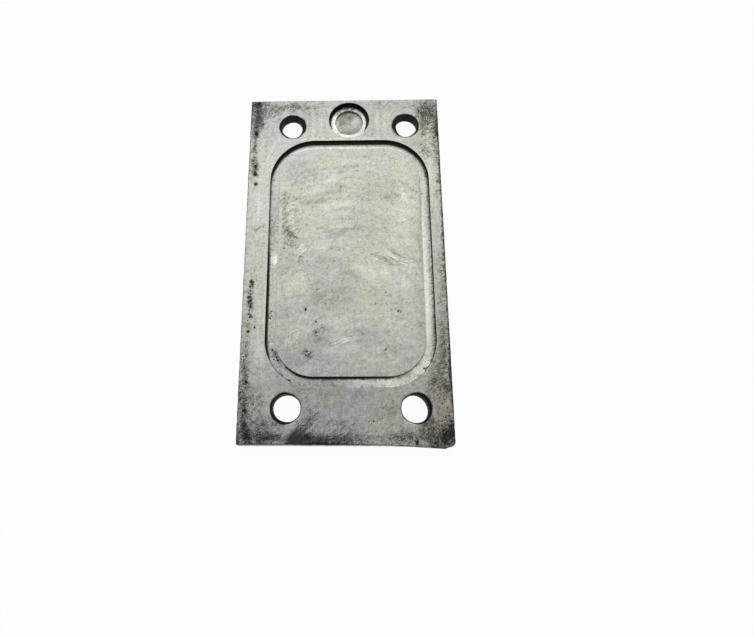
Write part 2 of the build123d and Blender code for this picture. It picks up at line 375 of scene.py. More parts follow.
# Where the old oil and painted shade on the walls, and the painted shade and dirt at their foot,
# are thinner
THINNED_OIL_AND_SHADE = (
    (-28.8, 20, 1.6, 18, 1), (18, -44.5, 9, 1.6, 0.5), (-26.5, -40.5, 3.5, 3.5, 0.7),
    (-25.5, 44.5, 3, 3, 0.2), (8.4, 53.8, 2.6, 2.4, 0.8), (-4.4, 53.8, 2.2, 2.4, 0.6),
    (25, -40.7, 4.5, 4.5, 0.8), (31, 4, 1.6, 14, 0.3), (2, -48.6, 26, 1.2, 0.9),
    (24, -45, 4, 3.5, 0.8, 45),
)

# Single pits: place, half-extents, turn, depth
PITS = (
    (-34.5, -9.2, 0.45, 0.7, 0, 0.3), (-34.9, -11.2, 0.4, 0.5, 20, 0.25),
    (-34.6, -12.8, 0.35, 0.35, 0, 0.2), (-35.2, -15.2, 0.7, 0.45, 10, 0.3),
    (-35, -17.1, 0.5, 0.5, 0, 0.25), (-34.4, -18.9, 0.5, 0.8, 10, 0.35),
    (-35, -21.7, 0.3, 0.4, 0, 0.2), (-34.6, -23, 0.4, 0.35, 0, 0.2),
    (-35.3, -24.2, 0.3, 0.3, 0, 0.15), (-34.9, -28.3, 0.75, 0.6, 20, 0.35),
    (-32.6, -26.8, 0.4, 0.5, 0, 0.25), (-34.6, 30.8, 0.55, 0.6, 0, 0.3),
    (-35, 53.2, 0.7, 1.1, 0, 0.35), (-34.7, 35.2, 0.5, 0.9, 10, 0.3),
    (-34.8, 38.6, 0.6, 0.8, 0, 0.3), (-34.8, -46.6, 0.5, 0.6, 0, 0.25),
    (-34.9, -56.6, 0.7, 0.7, 0, 0.3), (-14.2, -20.1, 0.45, 0.7, 0, 0.25),
    (-19.9, -45.8, 0.65, 0.4, -15, 0.3), (5.9, -48.3, 0.4, 0.3, 10, 0.2),
    (-26.2, -34.8, 0.35, 0.5, 10, 0.2), (-25, -35.9, 0.3, 0.3, 0, 0.15),
    (28.3, -41.6, 0.55, 0.35, -30, 0.2), (-26.9, -20.1, 0.4, 0.3, 0, 0.2),
    (-27.3, -22.8, 0.35, 0.45, 0, 0.2), (-10.4, -24.8, 0.35, 0.4, 0, 0.18),
    (-10.3, -28.7, 0.45, 0.45, 0, 0.15), (-13.6, -35.7, 0.6, 0.4, 20, 0.18),
    (-13.9, -37, 0.4, 0.35, 0, 0.12), (-10.2, -12.5, 0.35, 0.35, 0, 0.14),
    (11.3, -18.1, 0.25, 0.4, 0, 0.15), (14.6, -35.3, 0.4, 0.4, 0, 0.14),
    (19.3, -20.9, 0.5, 0.3, -20, 0.1), (15.2, -13.9, 0.35, 0.25, 0, 0.1),
    (-22.7, 4, 0.35, 0.35, 0, 0.15), (24.4, -67.2, 0.6, 0.7, 0, 0.25),
    (9.8, -60.3, 0.4, 0.5, 20, 0.15),
)

# Groups of small pits: place, half-extents, number
PIT_GROUPS = (
    (-35, 63.5, 1.6, 5, 24), (-35.2, 47.5, 0.8, 2, 5), (-35, 38.5, 0.9, 4, 10),
    (-34.9, -17, 0.8, 8, 12), (-36.2, -40, 0.8, 6, 10), (-35.6, -55, 1.2, 6, 12),
    (-30, -64.5, 6.5, 3.2, 40), (-6, -66.5, 9, 1.6, 16), (34.2, -62, 2.4, 5.5, 34),
    (33.8, -49, 2.2, 7, 26), (33.5, 61, 3.5, 6, 26), (36, 46, 0.8, 6, 8),
    (-24.8, -37, 1.2, 2.6, 10), (-26.8, -21, 0.7, 3, 5), (10, -60.5, 3, 1.2, 6),
)

# Scratches: start and end in X and Y, half-width, depth, and tone, which is pale above zero
SCRATCHES = (
    (11.6, 1.8, 16.4, -1.9, 0.28, 0.07, -0.8), (13.6, -0.4, 18.9, -3.6, 0.25, 0.06, -0.8),
    (17, 2.6, 23, -0.6, 0.22, 0.05, -0.7), (18.8, 1, 25.2, -2.6, 0.25, 0.06, 0.8),
    (20.2, -0.6, 26, -4.6, 0.22, 0.05, -0.7), (10, 0.6, 14, -1, 0.2, 0.04, -0.6),
    (22.6, -3.4, 26.6, -6.4, 0.2, 0.04, 0.8), (20.8, 33.4, 23.4, 30, 0.22, 0.05, -0.7),
    (22.2, 31.6, 24.6, 28.2, 0.2, 0.05, -0.7), (23, 30.4, 28.2, 26.4, 0.24, 0.06, -0.8),
    (21.8, 26, 24, 28.6, 0.2, 0.04, -0.6), (24.4, 26.2, 26.6, 23.8, 0.22, 0.05, 0.8),
    (20.8, 20.2, 24.2, 18.4, 0.2, 0.04, 0.8), (-21.2, 10.8, -17.6, 7.9, 0.35, 0.1, -1),
    (-22.2, 5.7, -18.8, 5, 0.3, 0.08, -0.9), (-17.6, 6.9, -13.6, 4.7, 0.2, 0.06, -0.8),
    (-18.6, 1.4, -14.4, 4.9, 0.2, 0.05, 0.8), (-17.4, 0.8, -14.8, 3.6, 0.18, 0.04, 0.8),
    (-17.8, 3, -15.6, 5.7, 0.18, 0.04, 0.8), (-18, 1.2, -15.5, 0.2, 0.26, 0.07, -0.8),
    (-17.3, -0.2, -15.5, -1.3, 0.22, 0.06, -0.8), (-6.2, -32.4, 3.4, -30.2, 0.2, 0.04, 0.8),
    (-4.6, -34, 0.6, -31.6, 0.18, 0.04, -0.6), (11.2, -30.4, 15.2, -38.2, 0.18, 0.05, -0.7),
    (13.2, -35.8, 13.1, -39.8, 0.2, 0.05, -0.7), (10.4, 39.8, 10.2, 35.4, 0.2, 0.06, -0.8),
    (9.8, 31.2, 9.9, 29, 0.18, 0.05, -0.7), (-8.7, -45.7, -8.6, -47.6, 0.2, 0.05, -0.7),
    (-8.6, -47.6, -9.3, -48.6, 0.2, 0.05, -0.7), (-9.3, -48.6, -10.4, -48.4, 0.2, 0.05, -0.7),
    (-14.2, -20.2, -14.2, -22.2, 0.25, 0.12, -1.1), (-16.6, -62.6, -9.2, -57.4, 0.22, 0.05, -0.7),
    (-15.4, -63.2, -8.2, -58.8, 0.2, 0.04, -0.6), (-14.6, -57.2, -13, -60.8, 0.2, 0.04, -0.6),
    (-17, -60.8, -12.6, -56.8, 0.2, 0.04, -0.6), (-1, 9.4, 3.8, 12, 0.2, 0.03, -0.6),
    (6, 29.4, 14.6, 26.4, 0.18, 0.03, -0.6), (-12, 20.6, -7, 23.8, 0.18, 0.03, -0.6),
    (16, -6, 9, -4.6, 0.16, 0.03, 0.8),
)

# Patches rubbed with grit, full of fine scratches: place, half-extents, turn, number
RUBBED_PATCHES = (
    (19.5, -1.2, 7.5, 4, -27, 22), (23.6, 29, 2.4, 4.5, -48, 10), (22.5, 18.8, 3.5, 1.6, -20, 6),
    (-16.6, 2.4, 3.2, 3.4, 42, 10), (-12.6, -60.4, 4.6, 3.6, 42, 16), (-1.5, -31.6, 5, 1.6, 18, 8),
    (-19, -31, 3.5, 5, 75, 12),
)

# How far round a pit or scratch the mesh's even points keep clear, and the rings of points that a
# pit has instead: share of its half-extents, number of points
MARK_MARGIN = 0.15
PIT_RINGS = ((0.55, 6), (1.05, 10))

# The groups' small pits: half-extents, depth as a share of them, gap to the next
SMALL_PIT_SIZES = (0.2, 0.38)
SMALL_PIT_DEPTHS = (0.3, 0.6)
PIT_GAP = 0.05

# The rubbed patches' fine scratches: spread of their turn, half-width, depth, strength of tone
FINE_SPREAD = 7
FINE_HALF_WIDTHS = (0.14, 0.22)
FINE_DEPTH = 0.02
FINE_TONES = (0.8, 1.6)

# Faint streaks that rubbing has left on the island: their number, half-length, half-width and
# strength, and the middle of the arcs that they run in. In front of the arcs they run straight.
RUBS = 420
RUB_HALF_RUNS = (1.2, 4.5)
RUB_HALF_WIDTHS = (0.3, 0.7)
RUB_STRENGTHS = (0.15, 0.45)
SWIRL_CENTRE = (4, -15)
SWIRL_FRONT = -12
STRAIGHT_TURN = 12

# Nicks in the top and bottom edges, each bitten out by a ball: their number, the ball's radius,
# how deep it bites, how steeply it stands off the edge, and the share that are in the top edge
NICKS = 90
NICK_RADII = (0.5, 1.3)
NICK_DEPTHS = (0.08, 0.3)
NICK_SLOPE = 0.6
NICKS_ON_TOP = 0.7

# How far the front edge is filed back, or pushed out below zero, at stations along X
FRONT_FILING = (
    (-37, 0.35), (-24, 0.4), (-16, 0.35), (-11, 0.3), (3, 0.25), (9, 0.2), (15, 0.05),
    (20, -0.15), (25, -0.55), (31, -0.85), (33.5, -1.1), (36, -0.35), (37.5, 0),
)
# Where along Y the filing starts, how soon it is full, and the share of it at the underside
FILED_FROM, FILED_RUN, FILED_BELOW = -62, 6.5, 0.35

# Lobes of old grease in each bore: the direction that each lies in, and its thickness
BORE_GREASE = {
    "front_left": ((240, 0.5),),
    "front_right": ((30, 0.6),),
    "back_left": ((5, 1.2), (212, 0.5)),
    "back_right": ((185, 1.2), (-32, 0.5)),
}

# How far the hole mouths are knocked out of round, and how wide a band round them that takes in
MOUTH_WEAR, MOUTH_BAND = 0.16, 0.8
# How far the outer sides stray from straight
SIDE_WEAR = 0.06

# How far the marks' outlines stray from an ellipse, and the size of their wobbles
MARK_WARP, MARK_WOBBLE = 0.45, 1.3
# Depth of a pit that fills with a whole scab
SCAB_DEPTH = 0.12
# How far in from the outer edges the film along them reaches, and the painted shade along the
# right one
EDGE_FILM_REACH, EDGE_SHADE_REACH = 0.5, 0.35
# What handling has left of the dirt on the sides, and on the filed front
KEPT_ON_SIDES, KEPT_ON_FRONT = 0.22, 0.36


def soft_spots(places, spots):
    """Summed strength of soft spots at each place."""
    strength = np.zeros(len(places))
    for x, y, half_x, half_y, peak, *turn in spots:
        share = own_axes(places, (x, y), (half_x, half_y), *turn)
        strength += peak * np.exp(-(share**2).sum(axis=1))
    return strength


def rubbed(places):
    """Tone of the streaks at each place, the chosen ones and the faint ones on the island."""
    streaks = list(STREAKS)
    for _ in range(RUBS):
        middle = groove_centre + random.uniform(-0.5, 0.5, 2) * (groove_size - 9)
        away = middle - SWIRL_CENTRE
        turn = math.radians(STRAIGHT_TURN)
        if middle[1] > SWIRL_FRONT:
            turn = math.atan2(away[0], -away[1])
        turn += random.normal(0, 0.35)
        half_run = random.uniform(*RUB_HALF_RUNS) * np.array([math.cos(turn), math.sin(turn)])
        strength = random.choice((-1, 1)) * random.uniform(*RUB_STRENGTHS)
        ends = (*(middle - half_run), *(middle + half_run))
        streaks.append((*ends, random.uniform(*RUB_HALF_WIDTHS), strength))
    tone = np.zeros(len(places))
    for *ends, half_width, strength in streaks:
        tone += strength * np.exp(-((line_distance(places, ends) / half_width) ** 2))
    return tone


def own_axes(places, centre, extent, turn=0):
    """Places seen from a turned ellipse, where its edge is at a distance of one."""
    cos, sin = math.cos(math.radians(turn)), math.sin(math.radians(turn))
    x, y = (places - centre).T
    return np.stack([(cos * x + sin * y) / extent[0], (cos * y - sin * x) / extent[1]], axis=1)


def uneven(places, size, seed):
    """Smooth random values from -1 to 1, with features of about the given size."""
    table = np.random.default_rng(seed).uniform(-1, 1, (256, 256))
    cell = places / size + 97
    corner = np.floor(cell).astype(int)
    share = cell - corner
    share = share**2 * (3 - 2 * share)
    i, j = (corner % 255).T
    across = table[i, j] + (table[i + 1, j] - table[i, j]) * share[:, 0]
    beyond = table[i, j + 1] + (table[i + 1, j + 1] - table[i, j + 1]) * share[:, 0]
    return across + (beyond - across) * share[:, 1]


def all_scratches():
    """The single scratches, and the fine ones of the rubbed patches, pale and dark in turn."""
    found = list(SCRATCHES)
    for x, y, half_x, half_y, turn, count in RUBBED_PATCHES:
        for number in range(count):
            angle = math.radians(turn + random.normal(0, FINE_SPREAD))
            along = np.array([math.cos(angle), math.sin(angle)])
            place = (x, y) + random.uniform(-0.6, 0.6, 2) * (half_x, half_y)
            half_run = random.uniform(0.25, 0.5) * half_x * along
            tone = (-1) ** number * random.uniform(*FINE_TONES)
            ends = (*(place - half_run), *(place + half_run))
            found.append((*ends, random.uniform(*FINE_HALF_WIDTHS), FINE_DEPTH, tone))
    return found


def all_pits():
    """The single pits, and the groups' small pits, which don't touch another."""
    found = [(np.array(row[:2]), row[2:4], *row[4:]) for row in PITS]
    for x, y, half_x, half_y, count in PIT_GROUPS:
        for _ in range(count):
            place = (x, y) + np.clip(random.normal(0, 0.5, 2), -1, 1) * (half_x, half_y)
            size = random.uniform(*SMALL_PIT_SIZES, 2)
            gaps = [np.linalg.norm(place - other[0]) - max(other[1]) for other in found]
            if min(gaps) > max(size) + PIT_GAP:
                found.append((place, size, 0, size[0] * random.uniform(*SMALL_PIT_DEPTHS)))
    return found


pits = all_pits()
scratches = all_scratches()


def mark_points():
    """Points that give each pit and scratch its own form in the mesh."""
    points = [np.array([centre for centre, _, _, _ in pits])]
    for centre, extent, turn, _ in pits:
        cos, sin = math.cos(math.radians(turn)), math.sin(math.radians(turn))
        for share, count in PIT_RINGS:
            angles = np.arange(count) * 2 * math.pi / count
            u, v = share * extent[0] * np.cos(angles), share * extent[1] * np.sin(angles)
            points.append(centre + np.stack([cos * u - sin * v, sin * u + cos * v], axis=1))
    for *ends, half_width, _, _ in scratches:
        start, end = np.reshape(ends, (2, 2))
        run = end - start
        length = np.linalg.norm(run)
        across = np.array([-run[1], run[0]]) / length * half_width
        shares = np.linspace(0, 1, max(2, math.ceil(length / SCRATCH_STEP)))[:, None]
        for side in (-1, 0, 1):
            points.append(start + shares * run + side * across)
    return np.concatenate(points)


def near_marks(places):
    """Which places lie so near a pit or scratch that its own points take their place."""
    near = np.zeros(len(places), bool)
    for centre, extent, turn, _ in pits:
        near |= (own_axes(places, centre, np.add(extent, MARK_MARGIN), turn) ** 2).sum(axis=1) < 1
    for *ends, half_width, _, _ in scratches:
        near |= line_distance(places, ends) < half_width + MARK_MARGIN
    return near


def line_distance(places, ends):
    """Distance from each place to the straight line between two ends, given as four numbers."""
    start, end = np.reshape(ends, (2, 2))
    run = end - start
    share = np.clip(((places - start) @ run) / (run @ run), 0, 1)
    return np.linalg.norm(places - start - share[:, None] * run, axis=1)


def pit_cut(places):
    """How deep the pits cut at each place."""
    cut = np.zeros(len(places))
    for centre, extent, turn, depth in pits:
        share = (own_axes(places, centre, extent, turn) ** 2).sum(axis=1)
        cut = np.maximum(cut, depth * np.clip(1 - share, 0, 1) ** 0.7)
    return cut


def scratched(places):
    """How deep the scratches cut at each place, and the tone that they give it."""
    cut, tone = np.zeros(len(places)), np.zeros(len(places))
    for *ends, half_width, depth, scratch_tone in scratches:
        share = np.clip(1 - line_distance(places, ends) / half_width, 0, 1)
        cut = np.maximum(cut, depth * share)
        tone += scratch_tone * share
    return cut, tone


# ---------------------------------------------------------------------------------------------
# The plate's mesh

FINISHES = ("ground", "milled", "ledge", "relief", "wall", "side")
# Scabs, old oil and grease, greasy film, rust tint, lighter and darker, cream and violet, arcs;
# the scabs, oil and film also carry painted shade, and the lighter and darker painted light and
# shade
MARKS = ("scab_and_edge_shade", "oil_and_painted_shade", "grime_and_painted_shade", "rust", "tone_and_painted_light", "tint", "swirl")
SIDE_RINGS = 10
# What stands for the distance to an outline that isn't near
FAR = 9.0


class Builder:
    """Gathers the points and faces of one closed mesh, and which finish each face has."""

    def __init__(self):
        self.points = []
        self.faces = []
        self.finishes = []

    def ring(self, plan, z):
        """Adds points at one height and returns their numbers."""
        first = len(self.points)
        self.points.extend((x, y, z) for x, y in plan)
        return list(range(first, first + len(plan)))

    def sew(self, finish, *rings):
        """Joins each ring to the next with a band of quads."""
        for ring_a, ring_b in zip(rings, rings[1:]):
            for k in range(len(ring_a)):
                after = (k + 1) % len(ring_a)
                self.faces.append((ring_a[k], ring_a[after], ring_b[after], ring_b[k]))
                self.finishes.append(FINISHES.index(finish))

    def sheet(self, finish, plan, triangles, z):
        """Adds the flat region that these triangles of a plan cover. Returns its point numbers."""
        used = np.unique(triangles)
        numbers = np.full(len(plan), -1)
        numbers[used] = len(self.points) + np.arange(len(used))
        self.points.extend((x, y, z) for x, y in plan[used])
        self.faces.extend(map(tuple, numbers[triangles]))
        self.finishes.extend([FINISHES.index(finish)] * len(triangles))
        return numbers


def triangulated(outlines, loose_points):
    """Plan of points and triangles that keeps every outline.

    Returns the points, the triangles, and for each outline the numbers of its points.
    """
    points = np.concatenate([*outlines.values(), loose_points])
    edges, spans, first = [], {}, 0
    for name, outline in outlines.items():
        numbers = first + np.arange(len(outline))
        edges.extend(zip(numbers, np.roll(numbers, -1)))
        spans[name] = numbers
        first += len(outline)
    vectors = [Vector(point) for point in points]
    whole_hull, tolerance = 0, 1e-7
    plan, _, triangles, origins, _, _ = delaunay_2d_cdt(vectors, edges, [], whole_hull, tolerance)
    new_number = np.zeros(len(points), int)
    for number, olds in enumerate(origins):
        new_number[olds] = number
    rings = {name: new_number[numbers] for name, numbers in spans.items()}
    return np.array(plan), np.array(triangles), rings


def nearest(places, outline_points):
    """Distance to, and number of, the outline's point nearest each place, if one is near."""
    cells = {}
    for number, cell in enumerate(map(tuple, np.floor(outline_points).astype(int))):
        cells.setdefault(cell, []).append(number)
    distance = np.full(len(places), FAR)
    numbers = np.zeros(len(places), int)
    place_cells = np.floor(places).astype(int)
    order = np.lexsort(place_cells.T)
    starts = np.flatnonzero(np.any(np.diff(place_cells[order], axis=0, prepend=-99) != 0, axis=1))
    for start, end in zip(starts, [*starts[1:], len(order)]):
        members = order[start:end]
        cx, cy = place_cells[members[0]]
        near = [n for i in (-1, 0, 1) for j in (-1, 0, 1) for n in cells.get((cx + i, cy + j), [])]
        if near:
            gaps = np.linalg.norm(places[members][:, None] - outline_points[near], axis=2)
            distance[members] = gaps.min(axis=1)
            numbers[members] = np.array(near)[gaps.argmin(axis=1)]
    return distance, numbers


def spread_points(step, outlines):
    """Evenly spread points inside the plate, a little unsettled, clear of the outlines."""
    unsettled, clearance = 0.12 * step, 0.45 * step
    rows = np.arange(low[1], high[1], step * math.sqrt(3) / 2)
    columns = np.arange(low[0], high[0], step)
    x, y = np.meshgrid(columns, rows)
    x = x + (np.arange(len(rows)) % 2)[:, None] * step / 2
    places = np.stack([x.ravel(), y.ravel()], axis=1)
    places += random.uniform(-unsettled, unsettled, places.shape)
    keep = inside(outlines["edge"], places)
    for outline in outlines.values():
        keep &= nearest(places, outline)[0] > clearance
    return places[keep]


def wall_rings(build, outline, side):
    """Rings at the top of a groove wall, at its bottom and round the radius at its foot."""
    rings = [build.ring(outline[0], top_z - groove_arris_drop)]
    for angle in np.radians((0, 30, 60)):
        inset = groove_floor_radius * (1 - math.cos(angle))
        height = top_z - groove_depth + groove_floor_radius * (1 - math.sin(angle))
        rings.append(build.ring(moved(outline, side * inset), height))
    return rings


def build_shell():
    """The machined plate as one closed mesh, before wear. Returns its builder."""
    build = Builder()
    groove_z = top_z - groove_depth
    ledge_z = top_z - recess_depth
    relief_z = ledge_z - recess_step_depth

    outlines = {
        "edge": moved(plate_outline, -edge_break),
        "groove_mouth": moved(groove_outline, groove_arris_width),
        "groove_foot": moved(groove_outline, -groove_floor_radius),
        "island_foot": moved(island_outline, groove_floor_radius),
        "island_top": moved(island_outline, -groove_arris_width),
        "recess_mouth": moved(recess_outline, arris_wear),
        "ledge_outer": moved(recess_outline, -arris_wear),
        "ledge_inner": moved(relief_outline, arris_wear),
        "relief_foot": moved(relief_outline, -arris_wear),
    }
    for name, bore in bolt_outlines.items():
        outlines[name] = moved(bore, bolt_mouth_chamfer + arris_wear)
    for reach in SHADE_AND_DIRT_ROWS:
        outlines[f"groove_row_{reach}"] = moved(groove_outline, -reach)
        outlines[f"island_row_{reach}"] = moved(island_outline, reach)
        outlines[f"recess_row_{reach}"] = moved(recess_outline, -reach)
    loose = spread_points(TOP_STEP, outlines)
    loose = np.concatenate([loose[~near_marks(loose)], mark_points()])
    plan, triangles, rings = triangulated(outlines, loose)
    middles = plan[triangles].mean(axis=1)
    within = {name: inside(outline, middles) for name, outline in outlines.items()}
    in_bores = np.any([within[name] for name in bolt_outlines], axis=0)

    rim = within["edge"] & ~within["groove_mouth"] & ~within["recess_mouth"] & ~in_bores
    floor = within["groove_foot"] & ~within["island_foot"]
    ledge = within["ledge_outer"] & ~within["ledge_inner"]
    rim_points = build.sheet("ground", plan, triangles[rim], top_z)
    island_points = build.sheet("ground", plan, triangles[within["island_top"]], top_z)
    floor_points = build.sheet("milled", plan, triangles[floor], groove_z)
    ledge_points = build.sheet("ledge", plan, triangles[ledge], ledge_z)
    relief_points = build.sheet("relief", plan, triangles[within["relief_foot"]], relief_z)

    for mouth, foot, outline, side in (
        (rim_points[rings["groove_mouth"]], "groove_foot", groove_outline, -1),
        (island_points[rings["island_top"]], "island_foot", island_outline, 1),
    ):
        top, *bottom = wall_rings(build, outline, side)
        build.sew("ground", mouth, top)
        build.sew("wall", top, bottom[0])
        build.sew("milled", *bottom, floor_points[rings[foot]])

    arris = build.ring(recess_outline[0], top_z - arris_wear)
    foot = build.ring(recess_outline[0], ledge_z + arris_wear)
    build.sew("ground", rim_points[rings["recess_mouth"]], arris)
    build.sew("wall", arris, foot, ledge_points[rings["ledge_outer"]])
    arris = build.ring(relief_outline[0], ledge_z - arris_wear)
    foot = build.ring(relief_outline[0], relief_z + arris_wear)
    inner, bottom = ledge_points[rings["ledge_inner"]], relief_points[rings["relief_foot"]]
    build.sew("relief", inner, arris, foot, bottom)

    outlines = {name: outlines[name] for name in ("edge", *bolt_outlines)}
    plan, triangles, under_rings = triangulated(outlines, spread_points(UNDER_STEP, outlines))
    middles = plan[triangles].mean(axis=1)
    solid = inside(outlines["edge"], middles)
    for name in bolt_outlines:
        solid &= ~inside(outlines[name], middles)
    under_points = build.sheet("ground", plan, triangles[solid], 0)

    for name, bore in bolt_outlines.items():
        shoulder = moved(bore, bolt_mouth_chamfer - arris_wear)
        upper = build.ring(shoulder, top_z - arris_wear)
        lower = build.ring(shoulder, arris_wear)
        bored = [build.ring(bore[0], z) for z in (top_z - bolt_mouth_chamfer, bolt_mouth_chamfer)]
        build.sew("ground", rim_points[rings[name]], upper)
        build.sew("wall", upper, *bored, lower)
        build.sew("ground", lower, under_points[under_rings[name]])

    heights = np.linspace(top_z - edge_break, edge_break, SIDE_RINGS)
    sides = [build.ring(plate_outline[0], z) for z in heights]
    build.sew("side", rim_points[rings["edge"]], *sides, under_points[under_rings["edge"]])
    return build


def worn(points):
    """The shell's points after wear: pits, scratches, nicked edges, uneven hole mouths."""
    points = points.copy()
    plan = points[:, :2].copy()
    machined = points[:, 2] > top_z - groove_depth - TOUCH
    points[machined, 2] -= pit_cut(plan[machined])
    on_top = points[:, 2] > top_z - FACE_DEPTH
    points[on_top, 2] -= scratched(plan[on_top])[0]

    # Hole mouths that bolts and washers have knocked a little out of round
    for number, (bore, _) in enumerate(bolt_outlines.values()):
        middle = bore.mean(axis=0)
        reach = np.linalg.norm(plan - middle, axis=1)
        mouth = (reach < bolt_radius + 1.5) & (points[:, 2] > top_z - 0.3)
        beyond = reach[mouth] - bolt_radius - bolt_mouth_chamfer
        growth = MOUTH_WEAR * np.clip(1 - beyond / MOUTH_BAND, 0, 1)
        growth = growth * uneven(plan[mouth], 1.6, seed=20 + number)
        points[mouth, :2] += (plan[mouth] - middle) / reach[mouth, None] * growth[:, None]

    # Old grease has caked on the sides of the bores
    for name, (bore, _) in bolt_outlines.items():
        away = (plan - bore.mean(axis=0)) / bolt_radius
        on_bore = np.linalg.norm(away, axis=1) < 1.01
        away = away[on_bore]
        for turn, thickness in BORE_GREASE[name]:
            turn = math.radians(turn)
            share = np.clip(away @ (math.cos(turn), math.sin(turn)), 0, 1) ** 2
            points[on_bore, :2] -= away * thickness * share[:, None]

    # The front edge is filed a little out of square and mushroomed out on the right
    front = np.clip((FILED_FROM - plan[:, 1]) / FILED_RUN, 0, 1) ** 2
    filed = np.interp(plan[:, 0], *zip(*FRONT_FILING))
    points[:, 1] += front * filed * (FILED_BELOW + (1 - FILED_BELOW) * points[:, 2] / top_z)

    # Nicks in the outer edges
    for _ in range(NICKS):
        k = random.integers(len(plate_outline[0]))
        radius = random.uniform(*NICK_RADII)
        depth = random.uniform(*NICK_DEPTHS)
        height = top_z if random.uniform() < NICKS_ON_TOP else 0
        direction = np.append(plate_outline[1][k], NICK_SLOPE if height else -NICK_SLOPE)
        direction /= np.linalg.norm(direction)
        middle = np.append(plate_outline[0][k], height) + direction * (radius - depth)
        away = points - middle
        gap = np.linalg.norm(away, axis=1)
        bitten = gap < radius
        points[bitten] += away[bitten] * (radius / gap[bitten] - 1)[:, None]

    # Edges and faces are nowhere quite straight
    near_side = np.abs(plan) > plate_size / 2 - 1.0
    for axis in (0, 1):
        moving = near_side[:, axis]
        points[moving, axis] += SIDE_WEAR * uneven(plan[moving], 1.1, seed=30 + axis)
    return points


def wear_marks(points):
    """Strength of each kind of mark at each of the unworn shell's points."""
    plan = points[:, :2]
    wobbles = [uneven(plan, MARK_WOBBLE, seed) for seed in (1, 2)]
    warped = plan + MARK_WARP * np.stack(wobbles, axis=1)
    # Marks lie on the machined face and its floors, and fade out down the sides
    on_top = np.clip((points[:, 2] - 0.5) / (top_z - groove_depth - 0.5), 0, 1)
    broken_up = {"scab_and_edge_shade": SCABS_AND_EDGE_SHADE, "grime_and_painted_shade": GRIME, "rust": RUST, "tint": TINT}
    marks = {name: soft_spots(warped, spots) for name, spots in broken_up.items()}
    marks["swirl"] = soft_spots(plan, SWIRL)
    # Tone: burnish, rubbing and scratches, with painted highlights and painted shade
    marks["tone_and_painted_light"] = soft_spots(plan, BURNISH_AND_PAINTED_HIGHLIGHTS) + rubbed(plan)
    marks["tone_and_painted_light"] += soft_spots(plan, FLOOR_LIGHT_AND_SHADE) * (points[:, 2] < top_z - 0.5)
    marks = {name: strength * on_top for name, strength in marks.items()}
    marks["oil_and_painted_shade"] = np.zeros(len(points))

    machined = points[:, 2] > top_z - groove_depth - TOUCH
    marks["scab_and_edge_shade"] += np.clip(pit_cut(plan) / SCAB_DEPTH, 0, 1.6) * machined
    marks["tone_and_painted_light"] += scratched(plan)[1] * (points[:, 2] > top_z - FACE_DEPTH)

    # Old oil and painted shade on the walls
    for outline, _ in (groove_outline, island_outline, recess_outline):
        gap, _ = nearest(plan, outline)
        marks["oil_and_painted_shade"] += (gap < TOUCH) & (points[:, 2] < top_z - 0.08)

    # Painted shade and dirt at the foot of the walls, thick in the corner and thin beyond, not
    # equally all round
    floor = (points[:, 2] < top_z - 1.0) & (points[:, 2] > top_z - groove_depth - 1.0)
    for mark, outline, reach, right, back, left, front in FOOT_SHADE_AND_DIRT:
        gap, number = nearest(plan[floor], outline[0])
        x, y = outline[1][number].T
        strength = np.where(x > 0, right, left) * x**2 + np.where(y > 0, back, front) * y**2
        fading = 4 if mark == "oil_and_painted_shade" else 2
        marks[mark][floor] += strength * np.exp(-((gap / reach) ** fading))

    marks["oil_and_painted_shade"] = np.clip(marks["oil_and_painted_shade"] - soft_spots(plan, THINNED_OIL_AND_SHADE), 0, None)

    # Painted shade in the bores and over their mouths, with old grease, except towards the front
    # of the back ones and towards the middle of the front ones
    for name, (bore, _) in bolt_outlines.items():
        away = plan - bore.mean(axis=0)
        reach = np.linalg.norm(away, axis=1)
        x, y = away.T / np.maximum(reach, 0.1)
        if name.startswith("front"):
            outward = x * np.sign(bore[0, 0])
            dark_overhang = bolt_mouth_chamfer * np.clip(1.1 + 1.5 * outward, 0, 1.3)
        else:
            dark_overhang = bolt_mouth_chamfer * np.clip(1.2 + 1.2 * y, 0, 0.8)
        marks["oil_and_painted_shade"] += 1.2 * np.clip((bolt_radius + dark_overhang - reach) / 0.3 + 0.5, 0, 1)

    # Film along the outer edges, top and bottom, and painted shade along the right edge, as
    # thicker film and old oil there
    gap, number = nearest(plan, plate_outline[0])
    right = np.clip(plate_outline[1][number][:, 0], 0, 1)
    marks["grime_and_painted_shade"] += (0.3 + 0.2 * right) * np.exp(-((gap / EDGE_FILM_REACH) ** 2))
    marks["oil_and_painted_shade"] += 0.75 * right * np.exp(-((gap / EDGE_SHADE_REACH) ** 2))

    # Hands and shelves keep the sides cleaner, and the filed front a little less so
    sides = (gap < TOUCH) & (points[:, 2] < top_z - edge_break - TOUCH)
    kept = np.where(plan[sides, 1] > low[1] + 1, KEPT_ON_SIDES, KEPT_ON_FRONT)
    for mark in ("scab_and_edge_shade", "oil_and_painted_shade", "grime_and_painted_shade"):
        marks[mark][sides] *= kept
    return marks


def build_plate():
    """The whole plate, worn, with its marks kept as attributes for the materials to read."""
    build = build_shell()
    shell = np.array(build.points)
    mesh = bpy.data.meshes.new("worn_plate")
    mesh.from_pydata(worn(shell) * MM, [], build.faces)
    mesh.polygons.foreach_set("material_index", build.finishes)
    for name, strength in wear_marks(shell).items():
        mesh.attributes.new(name, "FLOAT", "POINT").data.foreach_set("value", strength)
    skin = bmesh.new()
    skin.from_mesh(mesh)
    bmesh.ops.recalc_face_normals(skin, faces=skin.faces)
    skin.to_mesh(mesh)
    skin.free()
    mesh.shade_smooth()
    mesh.set_sharp_from_angle(angle=math.radians(38))
    plate = bpy.data.objects.new("worn_plate", mesh)
    bpy.context.collection.objects.link(plate)
    return plate


# ---------------------------------------------------------------------------------------------
# Materials

